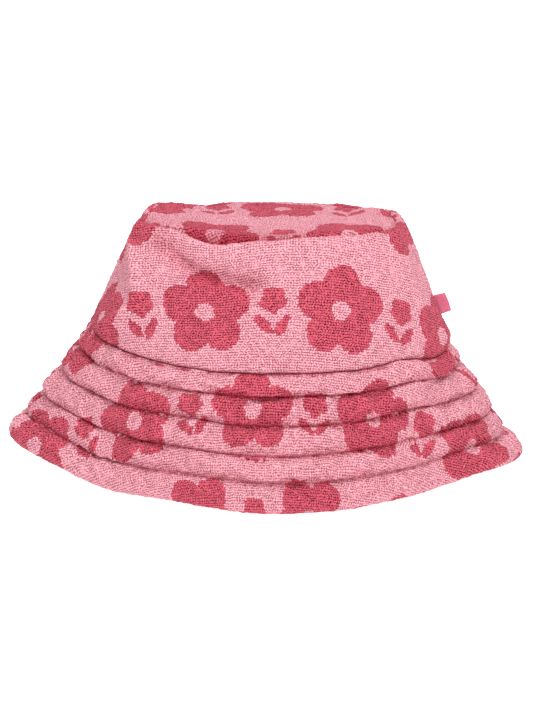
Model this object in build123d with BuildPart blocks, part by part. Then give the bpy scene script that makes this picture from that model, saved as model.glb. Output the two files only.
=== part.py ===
"""A child's soft bucket hat in terry towelling, in millimetres.

The hat stands on its brim on the table (z = 0), +Z up, its front towards -Y. The origin is on
the table, in the middle of the brim. Every panel is a strip between two levels of the hat,
sewn at the sides, so each one is lofted through upright sections that stand square to the
head seam, the oval where the crown meets the brim.
"""
from build123d import *
import os
from math import asin, atan2, cos, pi, sin

# The three ovals that set the hat's shape: half width (x) and half depth (y) over the outside
head_half_width = 94.0
head_half_depth = 70.0
top_half_width = 71.0
top_half_depth = 48.5
brim_half_width = 135.0
brim_half_depth = 101.5

# The soft brim is drawn in between front and side, so it comes to a blunt point at each side
brim_draw_in = 5.0
side_point_power = 16  # higher is sharper

# Heights above the table, and how the soft hat leans and lifts
head_seam_height = 63.3
crown_height = 125.8
head_seam_left_rise = 7.7
head_seam_right_drop = 3.6
crown_top_slope = 0.015  # the top falls by this much a millimetre towards the right
left_brim_lift = 10.0
left_lift_power = 2.5  # higher keeps the lift nearer to the left point

# Cloth
terry_thickness = 2.2
lining_thickness = 0.8
sweatband_thickness = 1.0
interlining_thickness = 1.6
sewing_gap = 0.25  # kept between cloths that lie on each other

# Crown
wall_bow = 1.5
ridge_radius = 3.0
lip_radius = 1.2
lip_fullness = 0.4  # from 0, a plain bevel, to 1, a sharp corner
tip_dish = 3.5
dish_rim_share = 0.93  # of the tip's oval, where the dish starts
dish_floor_share = 0.5
dish_bend_depth = 0.75  # of the dish's depth, reached half of the way to its floor
sweatband_height = 25.0

# Brim: channels between rows of stitching, with a thicker rolled hem outside the last row
stitch_rows = 4
hem_width = 15.5
hem_radius = 4.0
hem_flat = 0.3  # the roll is this much flatter along its foot
hem_press = 0.15  # and is pressed this much flatter still where it bears on the table
hem_turn_under = 3.0
row_pinch = 0.65  # thickness of the terry under a row of stitching
channel_puff = 2.1
under_puff = 1.2
hem_puff = 2.8
brim_tuck = 1.5  # how far inside the crown's face the middle of the brim starts

# Label folded in half and caught in the right side seam
label_height = 10.8
label_reach = 5.6  # out of the crown's face
label_ply = 0.35
label_fold_gap = 0.2
label_level = 21.5  # up the wall from the head seam to the label's middle

# Sections along a panel of half the hat's round, and points round a whole oval
panel_sections = 13
oval_points = 24

# Worked out from the sizes above
inner_ridge_radius = ridge_radius - terry_thickness
layer_start = interlining_thickness / 2 + sewing_gap  # off the brim's middle, to the terry
row_level = layer_start + row_pinch
lining_depth = terry_thickness + sewing_gap
sweatband_depth = lining_depth + lining_thickness + sewing_gap
tip_drop = ridge_radius + sewing_gap  # levels under the ridge's top
tip_lining_drop = tip_drop + terry_thickness + sewing_gap
side_lining_drop = tip_lining_drop + lining_thickness + sewing_gap
label_thickness = 2 * label_ply + label_fold_gap
# Angles round the hat, from its right side
back_half, front_half = (0, pi), (pi, 2 * pi)
back_join = sewing_gap / head_half_width
from_back_join = (pi / 2 + back_join / 2, 5 / 2 * pi - back_join / 2)


def head_point(angle):
    """Point of the head seam in plan, and the seam's outward direction there."""
    point = Vector(head_half_width * cos(angle), head_half_depth * sin(angle))
    out = Vector(head_half_depth * cos(angle), head_half_width * sin(angle))
    return point, out.normalized()


def crown_inset(angle):
    """How far the ridge lies inside the head seam: the sides' and the front's blend evenly."""
    side, front = head_half_width - top_half_width, head_half_depth - top_half_depth
    return side * cos(angle) ** 2 + front * sin(angle) ** 2


def brim_flare(angle):
    """How far the hem lies outside the head seam."""
    side, front = brim_half_width - head_half_width, brim_half_depth - head_half_depth
    point = (side - front) * abs(cos(angle)) ** side_point_power
    return front + point - brim_draw_in * sin(2 * angle) ** 2


def head_level(angle):
    rise = head_seam_left_rise if cos(angle) < 0 else -head_seam_right_drop
    return head_seam_height + rise * cos(angle) ** 2


def top_level(angle):
    point, out = head_point(angle)
    return crown_height - crown_top_slope * (point - out * crown_inset(angle)).X


def hem_level(angle):
    """Height of the hem roll's centre: it lifts towards the left and stands elsewhere."""
    lift = left_brim_lift * max(0.0, -cos(angle)) ** left_lift_power
    return hem_radius - hem_flat - hem_press + lift


class CrownWall:
    """The crown's wall in one section. Depth is measured inwards from its outer face."""

    def __init__(self, angle):
        self.foot = Vector(0, head_level(angle))
        self.ridge = Vector(-crown_inset(angle) - ridge_radius, top_level(angle) - ridge_radius)
        to_ridge = self.ridge - self.foot
        lean = atan2(to_ridge.Y, to_ridge.X) - asin(ridge_radius / to_ridge.length)
        self.up = Vector(cos(lean), sin(lean))
        self.out = Vector(sin(lean), -cos(lean))
        self.length = (to_ridge.length**2 - ridge_radius**2) ** 0.5

    def at(self, share, depth=0.0):
        """Point a share of the way up the wall, at a depth below its bowed outer face."""
        bow = 4 * wall_bow * share * (1 - share)
        return self.foot + self.up * self.length * share + self.out * (bow - depth)

    def share_at(self, rise, depth):
        """How far up the wall a rise above the head seam is reached, at that depth."""
        return (rise + depth * self.out.Y) / (self.up.Y * self.length)

    def face(self, low, high, depth):
        """Three points of the face at that depth, between two rises above the seam."""
        start, end = self.share_at(low, depth), self.share_at(high, depth)
        return [self.at(share, depth) for share in (start, (start + end) / 2, end)]


class BrimSlope:
    """The brim in one section: along runs down from the head seam, off stands on its top."""

    def __init__(self, angle):
        self.start = Vector(-brim_tuck, head_level(angle) - sewing_gap)
        hem = Vector(brim_flare(angle) - hem_radius, hem_level(angle))
        self.length = (hem - self.start).length
        self.along = (hem - self.start).normalized()
        self.upwards = Vector(-self.along.Y, self.along.X)
        pitch = (self.length + hem_radius - hem_width) / stitch_rows
        self.rows = [pitch * (row + 1) for row in range(stitch_rows)]

    def at(self, along, off):
        return self.start + self.along * along + self.upwards * off

    def edge(self, off):
        """Where a layer meets the level cut under the crown."""
        return self.start + Vector(off / self.upwards.X, 0)

    def draw_channels(self, side, puff):
        """Puffed channels on the top (1) or under (-1) side, from the seam to the last row."""
        point, row_before = self.edge(side * row_level), 0.0
        for row in self.rows:
            crest = self.at((row_before + row) / 2, side * (row_level + puff))
            row_point = self.at(row, side * row_level)
            ThreePointArc(point, crest, row_point)
            point, row_before = row_point, row
        return point


def sections(outline, span, count=panel_sections):
    """Sketches of an outline at even steps between two angles round the hat."""
    start, end = span
    step = (end - start) / (count - 1)
    return [section(outline, start + step * number) for number in range(count)]


def section(outline, angle):
    """The outline drawn upright, square to the head seam, with x out and y up."""
    point, out = head_point(angle)
    plane = Plane(origin=point, x_dir=out, z_dir=(out.Y, -out.X, 0))
    with BuildSketch(plane) as sketch:
        with BuildLine():
            outline(angle)
        make_face()
    return sketch.sketch


def crown_side_outline(angle):
    """Wall from its lip over the head seam, up and round the ridge to the tip's seam."""
    wall = CrownWall(angle)
    ridge, foot = wall.ridge, wall.foot
    lip_top, lip_end = foot + wall.up * lip_radius, foot - Vector(lip_radius, 0)
    lip_chord = (lip_top + lip_end) / 2
    inner_face = wall.face(0, top_level(angle) - head_level(angle), terry_thickness)
    inner_top = wall.at(1, terry_thickness)
    seam_outer, seam_inner = ridge - Vector(ridge_radius, 0), ridge - Vector(inner_ridge_radius, 0)
    ThreePointArc(lip_end, lip_chord + (foot - lip_chord) * lip_fullness, lip_top)
    ThreePointArc(lip_top, wall.at(0.5), wall.at(1))
    ThreePointArc(wall.at(1), ridge + Vector(0, ridge_radius), seam_outer)
    Line(seam_outer, seam_inner)
    ThreePointArc(seam_inner, ridge + Vector(0, inner_ridge_radius), inner_top)
    ThreePointArc(inner_top, wall.at(0.5, terry_thickness), inner_face[0])
    Line(inner_face[0], lip_end)


def brim_top_outline(angle):
    """Puffed channels, then the hem rolled round the edge, flat below, and turned under."""
    slope = BrimSlope(angle)
    end, turn = slope.length, slope.length - hem_turn_under
    pocket = end + interlining_thickness / 2
    roll_top, roll_under = slope.at(end, hem_radius), slope.at(end, -hem_radius)
    sole = slope.at(end, 0) - Vector(0, hem_radius - hem_flat)
    half_sole = Vector((2 * hem_radius * hem_flat - hem_flat**2) ** 0.5, 0)
    last_row = slope.draw_channels(1, channel_puff)
    hem_crest = slope.at((slope.rows[-1] + end) / 2, row_level + hem_puff)
    ThreePointArc(last_row, hem_crest, roll_top)
    RadiusArc(roll_top, sole + half_sole, hem_radius)
    Line(sole + half_sole, sole - half_sole)
    RadiusArc(sole - half_sole, roll_under, hem_radius)
    Polyline(
        roll_under,
        slope.at(turn, -row_level - under_puff),
        slope.at(turn, -layer_start),
        slope.at(pocket, -layer_start),
        slope.at(pocket, layer_start),
        slope.edge(layer_start),
        slope.edge(row_level),
    )


def brim_under_outline(angle):
    """Shallower channels, up to the turned edge of the hem."""
    slope = BrimSlope(angle)
    end = slope.length - hem_turn_under - sewing_gap
    last_row = slope.draw_channels(-1, under_puff)
    outer = slope.at(end, -row_level - under_puff)
    ThreePointArc(last_row, slope.at((slope.rows[-1] + end) / 2, -row_level - under_puff), outer)
    Polyline(
        outer, slope.at(end, -layer_start), slope.edge(-layer_start), slope.edge(-row_level)
    )


def interlining_outline(angle):
    """Felt that stiffens the brim, from the head seam into the fold of the hem."""
    slope = BrimSlope(angle)
    face = interlining_thickness / 2
    end = slope.length + face - sewing_gap
    Polyline(
        slope.edge(face), slope.at(end, face), slope.at(end, -face), slope.edge(-face), close=True
    )


def draw_strip(wall, high, depth, thickness):
    """Cloth that lies inside the wall, from the head seam up to a rise above it."""
    outer, inner = wall.face(0, high, depth), wall.face(0, high, depth + thickness)
    ThreePointArc(*outer)
    Line(outer[-1], inner[-1])
    ThreePointArc(*reversed(inner))
    Line(inner[0], outer[0])


def side_lining_outline(angle):
    high = top_level(angle) - head_level(angle) - side_lining_drop
    draw_strip(CrownWall(angle), high, lining_depth, lining_thickness)


def sweatband_outline(angle):
    draw_strip(CrownWall(angle), sweatband_height, sweatband_depth, sweatband_thickness)


def oval(drop, share=1.0):
    """Face that fills a share of the crown at a level under the ridge, parallel to its top."""
    slope = crown_top_slope
    plane = Plane(origin=(0, 0, crown_height - drop), x_dir=(1, 0, -slope), z_dir=(slope, 0, 1))
    points = []
    for step in range(oval_points):
        angle = 2 * pi * step / oval_points
        wall, (point, out) = CrownWall(angle), head_point(angle)
        level = top_level(angle) - drop
        inside = wall.at(wall.share_at(level - head_level(angle), lining_depth), lining_depth)
        edge = point + out * inside.X
        local = plane.to_local_coords(Vector(edge.X, edge.Y, level)) * share
        points.append((local.X, local.Y))
    with BuildSketch(plane) as sketch:
        with BuildLine():
            Spline(*points, periodic=True)
        make_face()
    return sketch.sketch


def dish(drop):
    """Ovals that step down from a level rim to the dish's floor."""
    return [
        oval(drop, dish_rim_share),
        oval(drop + dish_bend_depth * tip_dish, (dish_rim_share + dish_floor_share) / 2),
        oval(drop + tip_dish, dish_floor_share),
    ]


def wall_direction(vector):
    """A direction in the right side's section, turned into one of the whole hat."""
    return Vector(vector.X, 0, vector.Y)


# The label stands square out of the wall at the right side seam, in a slot of that seam
right_wall = CrownWall(0)
label_foot = right_wall.at(label_level / right_wall.length)
label_plane = Plane(
    origin=wall_direction(label_foot) + head_point(0)[0],
    x_dir=wall_direction(right_wall.out),
    z_dir=wall_direction(right_wall.up),
)
slot_height = label_height + 2 * sewing_gap
slot_width = label_thickness + 2 * sewing_gap
slot_reach = 4 * terry_thickness  # clear through the wall

# The crown's outside: two walls sewn at the sides, and an oval tip sunk behind their ridge
with BuildPart() as crown_side_front:
    loft(sections(crown_side_outline, front_half))
    with BuildSketch(label_plane):
        Rectangle(slot_reach, slot_width)
    extrude(amount=slot_height / 2, both=True, mode=Mode.SUBTRACT)
crown_side_front.part.label = "crown_side_front"

with BuildPart() as crown_side_back:
    loft(sections(crown_side_outline, back_half))
    with BuildSketch(label_plane):
        Rectangle(slot_reach, slot_width)
    extrude(amount=slot_height / 2, both=True, mode=Mode.SUBTRACT)
crown_side_back.part.label = "crown_side_back"

with BuildPart() as crown_tip:
    extrude(oval(tip_drop), amount=-terry_thickness)
    loft(dish(tip_drop + terry_thickness))
    loft(dish(tip_drop), mode=Mode.SUBTRACT)
crown_tip.part.label = "crown_tip"

# The brim: top and under panels of two halves each, with felt between them
with BuildPart() as brim_top_front:
    loft(sections(brim_top_outline, front_half))
    split(bisect_by=Plane.XY, keep=Keep.TOP)
brim_top_front.part.label = "brim_top_front"

with BuildPart() as brim_top_back:
    loft(sections(brim_top_outline, back_half))
    split(bisect_by=Plane.XY, keep=Keep.TOP)
brim_top_back.part.label = "brim_top_back"

with BuildPart() as brim_under_front:
    loft(sections(brim_under_outline, front_half))
brim_under_front.part.label = "brim_under_front"

with BuildPart() as brim_under_back:
    loft(sections(brim_under_outline, back_half))
brim_under_back.part.label = "brim_under_back"

with BuildPart() as interlining_front:
    loft(sections(interlining_outline, front_half))
interlining_front.part.label = "interlining_front"

with BuildPart() as interlining_back:
    loft(sections(interlining_outline, back_half))
interlining_back.part.label = "interlining_back"

# The crown's inside: a cotton lining cut like the outside, and a sweatband round the head
with BuildPart() as lining_side_front:
    loft(sections(side_lining_outline, front_half))
lining_side_front.part.label = "lining_side_front"

with BuildPart() as lining_side_back:
    loft(sections(side_lining_outline, back_half))
lining_side_back.part.label = "lining_side_back"

with BuildPart() as lining_tip:
    extrude(oval(tip_lining_drop), amount=-lining_thickness)
    loft(dish(tip_lining_drop + lining_thickness))
    loft(dish(tip_lining_drop), mode=Mode.SUBTRACT)
lining_tip.part.label = "lining_tip"

with BuildPart() as sweatband:
    loft(sections(sweatband_outline, from_back_join, 2 * panel_sections - 1))
sweatband.part.label = "sweatband"

# The label: a ribbon folded in half, with its cut ends in the side seam
with BuildPart() as side_label:
    with BuildSketch(label_plane):
        with BuildLine():
            ply = (label_ply + label_fold_gap) / 2
            fold = label_reach - label_thickness / 2
            Line((-terry_thickness, ply), (fold, ply))
            ThreePointArc((fold, ply), (fold + ply, 0), (fold, -ply))
            Line((fold, -ply), (-terry_thickness, -ply))
        trace(line_width=label_ply)
    extrude(amount=label_height / 2, both=True)
side_label.part.label = "side_label"

os.makedirs("parts", exist_ok=True)
for piece in (
    crown_side_front,
    crown_side_back,
    crown_tip,
    brim_top_front,
    brim_top_back,
    brim_under_front,
    brim_under_back,
    interlining_front,
    interlining_back,
    lining_side_front,
    lining_side_back,
    lining_tip,
    sweatband,
    side_label,
):
    export_step(piece.part, f"parts/{piece.part.label}.step")
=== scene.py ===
import math

import bmesh
import bpy
import numpy as np
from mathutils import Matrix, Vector


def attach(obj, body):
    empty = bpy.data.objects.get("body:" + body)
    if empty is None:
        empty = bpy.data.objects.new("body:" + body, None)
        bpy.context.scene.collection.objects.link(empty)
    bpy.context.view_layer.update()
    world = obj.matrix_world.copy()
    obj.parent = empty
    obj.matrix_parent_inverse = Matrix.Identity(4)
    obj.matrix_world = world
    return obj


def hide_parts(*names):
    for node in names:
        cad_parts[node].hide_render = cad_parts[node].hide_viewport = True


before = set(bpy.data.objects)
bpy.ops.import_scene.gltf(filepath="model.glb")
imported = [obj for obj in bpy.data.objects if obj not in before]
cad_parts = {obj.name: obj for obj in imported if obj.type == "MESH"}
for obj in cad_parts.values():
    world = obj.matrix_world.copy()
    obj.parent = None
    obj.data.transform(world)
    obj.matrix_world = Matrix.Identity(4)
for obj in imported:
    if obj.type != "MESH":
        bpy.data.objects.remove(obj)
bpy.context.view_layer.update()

print("frame loaded:", len(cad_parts), "nodes")
mm = 0.001

# The hat's form in metres. Angles go round from the right side: back 90, left 180, front 270
hatForm = {
    "headHalf": (0.094, 0.070),
    "topHalf": (0.071, 0.0485),
    "brimHalf": (0.135, 0.1015),
    "brimDrawIn": 0.005,
    "sidePower": 16,
    "headLevel": 0.0633,
    "leftRise": 0.0077,
    "rightDrop": 0.0036,
    "crownHeight": 0.1258,
    "topSlope": 0.015,
    "leftLift": 0.010,
    "liftPower": 2.5,
    "ridge": 0.003,
    "wallBow": 0.0015,
    "wallTall": 64 * mm,
    "wallDegree": 1.3 * mm,  # a degree round the wall
    "hemRadius": 0.004,
    "hemSink": 0.00045,
    "brimTuck": 0.0015,
    "gap": 0.00025,
    "layerStart": 0.00105,
    "rowLevel": 0.0017,
    "terry": 0.0022,
    "rows": (0.193, 0.412, 0.640, 0.842),  # shares of the brim, head seam to hem
    "rowWaves": ((0.0035, 5, 2.1), (0.0025, 11, 1.3)),  # share of the brim, waves round it, shift
    "lumpsFoot": 0.06,  # shares of the wall where dents and folds start and stop
    "lumpsTop": 0.88,
    "floorGap": 0.05 * mm,
}

# Where the soft cloth leaves the even form: (angle, spread in degrees, metres)
softSeam = (
    (316, 13, 0.0030),
    (352, 10, 0.0012),
)
softRidge = (
    (250, 14, -0.0040),
    (226, 11, 0.0018),
    (293, 14, 0.0010),
    (181, 9, -0.0020),
    (207, 9, 0.0012),
    (237, 8, -0.0006),
    (142, 13, 0.0023),
    (22, 13, 0.0014),
    (50, 12, 0.0008),
    (95, 30, 0.0002),
)
softHem = (
    (181, 9, 0.0024),
    (318, 17, -0.0034),
    (296, 10, 0.0006),
    (358, 9, -0.0004),
)
softHemRise = (
    (336, 14, 0.0036),
    (250, 13, 0.0024),
    (302, 10, 0.0010),
    (219, 11, -0.0014),
    (65, 20, 0.0012),
    (120, 16, 0.0008),
)
softSlope = (
    (186, 26, -0.0034),
    (352, 24, -0.0024),
    (228, 14, -0.0008),
    (60, 22, -0.0012),
    (135, 22, 0.0006),
)
# (angle, spread, share down the brim, spread, metres out)
softBrim = (
    (184, 17, 0.11, 0.12, -0.0036),
    (184, 17, 0.76, 0.12, -0.0018),
    (358, 19, 0.10, 0.12, -0.0032),
    (356, 15, 0.30, 0.10, -0.0012),
    (358, 17, 0.86, 0.12, -0.0042),
    (238, 12, 0.55, 0.22, 0.0012),
    (262, 10, 0.30, 0.18, -0.0009),
    (296, 12, 0.72, 0.20, 0.0012),
    (78, 14, 0.45, 0.25, 0.0014),
    (112, 12, 0.70, 0.22, -0.0010),
)
# (angle, spread, share up the wall, spread, metres out)
softWall = (
    (194, 14, 0.62, 0.24, -0.0060),
    (180, 16, 0.45, 0.42, -0.0022),
    (160, 12, 1.00, 0.30, -0.0030),
    (224, 13, 0.16, 0.20, 0.0010),
    (275, 26, 0.45, 0.35, 0.0008),
    (222, 15, 0.97, 0.16, 0.0016),
    (217, 9, 0.95, 0.55, 0.0034),
    (326, 13, 0.95, 0.50, 0.0014),
    (150, 14, 1.00, 0.55, 0.0026),
    (30, 13, 1.00, 0.50, 0.0022),
    (358, 16, 0.06, 0.18, 0.0024),
    (8, 16, 0.45, 0.30, -0.0014),
    (60, 20, 0.50, 0.40, 0.0012),
    (100, 16, 0.55, 0.30, -0.0018),
    (128, 14, 0.30, 0.35, 0.0012),
)
# Folds in the wall: a path of (angle, share), half width in metres, metres out
wallFolds = (
    (
        ((205, 0.92), (211, 0.80), (216, 0.66), (220, 0.50), (220, 0.38), (214, 0.24), (204, 0.12)),
        0.0042,
        0.0040,
    ),
    (((224, 0.93), (236, 0.84), (249, 0.77), (264, 0.70)), 0.0046, -0.0042),
    (((330, 0.9), (331, 0.6), (333, 0.3)), 0.0070, 0.0014),
    (((118, 0.95), (112, 0.6), (104, 0.3)), 0.0060, -0.0018),
    (((60, 0.9), (66, 0.6), (70, 0.35)), 0.0065, 0.0014),
)


def lumps(angle, table):  # sum of soft humps round the hat
    total = 0.0 * angle
    for middle, spread, height in table:
        off = (np.degrees(angle) - middle + 180) % 360 - 180
        total = total + height * np.exp(-((off / spread) ** 2))
    return total


def waves(angle, table, step=1):  # sum of even waves round the hat
    return sum(height * np.sin(count * angle + shift * step) for height, count, shift in table)


def headPoint(angle):
    halfX, halfY = hatForm["headHalf"]
    outX, outY = halfY * np.cos(angle), halfX * np.sin(angle)
    length = np.hypot(outX, outY)
    return halfX * np.cos(angle), halfY * np.sin(angle), outX / length, outY / length


def crownInset(angle):
    side = hatForm["headHalf"][0] - hatForm["topHalf"][0]
    front = hatForm["headHalf"][1] - hatForm["topHalf"][1]
    return side * np.cos(angle) ** 2 + front * np.sin(angle) ** 2


def brimFlare(angle):
    side = hatForm["brimHalf"][0] - hatForm["headHalf"][0]
    front = hatForm["brimHalf"][1] - hatForm["headHalf"][1]
    point = (side - front) * np.abs(np.cos(angle)) ** hatForm["sidePower"]
    drawn = hatForm["brimDrawIn"] * np.sin(2 * angle) ** 2
    return front + point - drawn + lumps(angle, softHem)


def headLevel(angle):
    rise = np.where(np.cos(angle) < 0, hatForm["leftRise"], -hatForm["rightDrop"])
    return hatForm["headLevel"] + rise * np.cos(angle) ** 2 + lumps(angle, softSeam)


def topLevel(angle):
    x, _, outX, _ = headPoint(angle)
    level = hatForm["crownHeight"] - hatForm["topSlope"] * (x - outX * crownInset(angle))
    return level + lumps(angle, softRidge)


def hemLevel(angle):
    lift = hatForm["leftLift"] * np.maximum(0, -np.cos(angle)) ** hatForm["liftPower"]
    return hatForm["hemRadius"] - hatForm["hemSink"] + lift + lumps(angle, softHemRise)


def upright(angle, x, y):  # a point of the upright section at an angle, x outwards and y up
    headX, headY, outX, outY = headPoint(angle)
    x, y = np.broadcast_arrays(x, y)
    return np.stack([headX + outX * x, headY + outY * x, y], -1)


def pathDistance(angle, share, path):  # how far points of the wall lie from a fold's path
    across, tall = hatForm["wallDegree"], hatForm["wallTall"]
    best = np.full(np.broadcast(angle, share).shape, 1e9)
    spot = np.stack(np.broadcast_arrays((np.degrees(angle) % 360) * across, share * tall), -1)
    ends = np.array([(degrees * across, level * tall) for degrees, level in path])
    for start, end in zip(ends[:-1], ends[1:]):
        run = end - start
        along = np.clip(((spot - start) @ run) / (run @ run), 0, 1)
        best = np.minimum(best, np.linalg.norm(spot - start - along[..., None] * run, axis=-1))
    return best


def lumpsOver(angle, share, table):
    total = 0.0 * (angle + share)
    for centre, spread, level, tall, out in table:
        apart = (np.degrees(angle) - centre + 180) % 360 - 180
        near = out * np.exp(-((apart / spread) ** 2))
        total = total + near * np.exp(-(((share - level) / tall) ** 2))
    return total


def wallLumps(angle, share):
    share = np.minimum(share, hatForm["lumpsTop"])  # wall, ridge and tip move together at the top
    total = lumpsOver(angle, share, softWall)
    for path, width, out in wallFolds:
        total = total + out * np.exp(-((pathDistance(angle, share, path) / width) ** 2))
    return total * np.clip(share / hatForm["lumpsFoot"], 0, 1)


def crownWall(angle):  # foot, ridge centre, directions and length of the wall in its section
    footX, footY = 0.0 * angle, headLevel(angle)
    ridge = hatForm["ridge"]
    ridgeX, ridgeY = -crownInset(angle) - ridge, topLevel(angle) - ridge
    runX, runY = ridgeX - footX, ridgeY - footY
    run = np.hypot(runX, runY)
    lean = np.arctan2(runY, runX) - np.arcsin(ridge / run)
    return {
        "foot": (footX, footY),
        "ridge": (ridgeX, ridgeY),
        "up": (np.cos(lean), np.sin(lean)),
        "out": (np.sin(lean), -np.cos(lean)),
        "lean": lean,
        "length": np.sqrt(run**2 - ridge**2),
    }


def wallPoint(wall, angle, share, depth):
    bow = 4 * hatForm["wallBow"] * share * (1 - share) + wallLumps(angle, share) - depth
    up, out, foot = wall["up"], wall["out"], wall["foot"]
    x = foot[0] + up[0] * wall["length"] * share + out[0] * bow
    y = foot[1] + up[1] * wall["length"] * share + out[1] * bow
    return x, y


def shareAt(wall, rise, depth):  # how far up the wall a rise above the head seam is
    return (rise + depth * wall["out"][1]) / (wall["up"][1] * wall["length"])


def brimSlope(angle):  # the straight line down the brim in its section, from the crown to the hem
    startX, startY = -hatForm["brimTuck"] + 0.0 * angle, headLevel(angle) - hatForm["gap"]
    hemX, hemY = brimFlare(angle) - hatForm["hemRadius"], hemLevel(angle)
    length = np.hypot(hemX - startX, hemY - startY)
    alongX, alongY = (hemX - startX) / length, (hemY - startY) / length
    return {
        "start": (startX, startY),
        "along": (alongX, alongY),
        "up": (-alongY, alongX),
        "length": length,
        "sag": lumps(angle, softSlope),
        "angle": angle,
    }


def brimPoint(slope, share, off):
    sag = slope["sag"] * np.sin(math.pi * np.clip(share, 0, 1))
    off = off + sag + lumpsOver(slope["angle"], share, softBrim)
    x = slope["start"][0] + slope["along"][0] * slope["length"] * share + slope["up"][0] * off
    y = slope["start"][1] + slope["along"][1] * slope["length"] * share + slope["up"][1] * off
    return x, y


def brimEdge(slope, off):  # the level cut under the crown
    return slope["start"][0] + off / slope["up"][0], slope["start"][1] + 0.0 * off


def rowShare(angle, row):  # the rows of stitching wander a little
    slow, quick = hatForm["rowWaves"]
    return hatForm["rows"][row] + waves(angle, (slow,), row) + waves(angle, (quick,), row * row)


def noiseOn(u, v, size, seed):  # smooth noise from -1 to 1 with features of a size
    cells = 128
    table = np.random.default_rng(seed).uniform(-1, 1, (cells, cells))
    gridU, gridV = u / size, v / size
    cellU, cellV = np.floor(gridU).astype(int), np.floor(gridV).astype(int)
    partU, partV = gridU - cellU, gridV - cellV
    partU, partV = partU * partU * (3 - 2 * partU), partV * partV * (3 - 2 * partV)
    here, nextU = cellU % cells, (cellU + 1) % cells
    low, nextV = cellV % cells, (cellV + 1) % cells
    lower = table[here, low] * (1 - partU) + table[nextU, low] * partU
    upper = table[here, nextV] * (1 - partU) + table[nextU, nextV] * partU
    return lower * (1 - partV) + upper * partV


# The towelling's loops: their pitch on the flat cloth, and how far they stand out
loopCloth = {
    "wide": 1.42 * mm,
    "tall": 1.30 * mm,
    "fuzz": 0.26 * mm,
    "tuft": (1.25 * mm, 11),  # size and seed
    "slantTuft": (1.9 * mm, 12),
    "slantShare": 0.7,
    "swells": ((0.16, 4.2 * mm, 21), (0.24, 11 * mm, 22), (0.34, 27 * mm, 23)),  # millimetres high, size, seed
}


def loopRelief(cloth):  # how far the pile stands out at each point of the flat cloth
    u, v = cloth[..., 0], cloth[..., 1]
    slanted = noiseOn(u + v, v - u, *loopCloth["slantTuft"])
    fuzz = noiseOn(u, v, *loopCloth["tuft"]) + loopCloth["slantShare"] * slanted
    soft = sum(height * noiseOn(u, v, size, seed) for height, size, seed in loopCloth["swells"])
    return loopCloth["fuzz"] * fuzz + soft * mm


def pushOut(points, amount):  # moves a grid of points along its own normals
    alongRow = np.gradient(points, axis=1)
    alongColumn = np.gradient(points, axis=0)
    normal = np.cross(alongColumn, alongRow)
    normal /= np.maximum(np.linalg.norm(normal, axis=-1, keepdims=True), 1e-12)
    return points + normal * amount[..., None]


def side(points, amount):  # amount counted outwards, whichever way the grid's normals point
    middle = points.shape[0] // 2, points.shape[1] // 2
    row = points[middle[0], middle[1] + 1] - points[middle]
    column = points[middle[0] + 1, middle[1]] - points[middle]
    outwards = points[middle] * np.array([1, 1, 0]) + np.array([0, 0, 30 * mm])
    return amount if np.cross(column, row) @ outwards > 0 else -amount


def lengthDown(points):  # how far each column of a grid lies from the first, over the cloth
    steps = np.linalg.norm(np.diff(points, axis=1), axis=-1).mean(axis=0)
    return np.concatenate([[0], np.cumsum(steps)])[None, :]


def sections(angle, places):  # upright sections through a list of places, each x and y
    x = np.hstack([place[0] + 0.0 * angle for place in places])
    y = np.hstack([place[1] + 0.0 * angle for place in places])
    return upright(angle, x, y)


def meshPiece(name, points, quads, cornerCloth, caps=(), paintedShade=None):
    count = len(quads)
    sizes = np.array([4] * count + [len(cap) for cap in caps])
    corners = np.concatenate([quads.ravel()] + [np.asarray(cap) for cap in caps])
    mesh = bpy.data.meshes.new(name)
    mesh.vertices.add(len(points))
    mesh.vertices.foreach_set("co", np.asarray(points, dtype=np.float32).ravel())
    mesh.loops.add(len(corners))
    mesh.loops.foreach_set("vertex_index", corners.astype(np.int32))
    mesh.polygons.add(len(sizes))
    starts = np.concatenate([[0], np.cumsum(sizes)[:-1]])
    mesh.polygons.foreach_set("loop_start", starts.astype(np.int32))
    mesh.update(calc_edges=True)
    smooth = np.array([True] * count + [False] * len(caps))
    mesh.polygons.foreach_set("use_smooth", smooth)
    flat = mesh.uv_layers.new(name="cloth")
    values = np.zeros((len(corners), 2), dtype=np.float32)
    values[: 4 * count] = cornerCloth.reshape(-1, 2)
    flat.data.foreach_set("uv", values.ravel())
    # Painted shade kept per point, which darkens the terry's colour
    if paintedShade is not None:
        shade = mesh.attributes.new("paintedShade", "FLOAT", "POINT")
        shade.data.foreach_set("value", np.asarray(paintedShade, dtype=np.float32).ravel())
    mesh.validate()
    mesh.update()
    piece = bpy.data.objects.new(name, mesh)
    bpy.context.scene.collection.objects.link(piece)
    return piece


def flatCorners(cloth):  # the flat cloth's place at the four corners of every cell of a grid
    corners = [cloth[:-1, :-1], cloth[1:, :-1], cloth[1:, 1:], cloth[:-1, 1:]]
    return np.stack(corners, -2).reshape(-1, 4, 2)


def stripPiece(name, points, cloth, paintedShade=None):
    # A closed section carried round the hat: points[angle, round the section], cloth has one more column
    count, around = points.shape[:2]
    index = np.arange(count * around).reshape(count, around)
    here, there = index[:-1], index[1:]
    quads = np.stack([here, there, np.roll(there, -1, 1), np.roll(here, -1, 1)], -1).reshape(-1, 4)
    flat = flatCorners(cloth)
    caps = (index[0], index[-1][::-1])
    points = points.reshape(-1, 3)
    return meshPiece(name, points, *facedOut(points, quads, flat, caps), paintedShade)


def facedOut(points, quads, flat, caps):  # faces have to point outwards
    a, b, c = (points[quads[:, k]] for k in (0, 1, 2))
    if np.einsum("ij,ij->i", a, np.cross(b, c)).sum() < 0:
        return quads[:, ::-1], flat[:, ::-1], tuple(cap[::-1] for cap in caps)
    return quads, flat, caps


clothEase = 0.11  # the cloth opens out a little more in the middle of a panel


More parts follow.
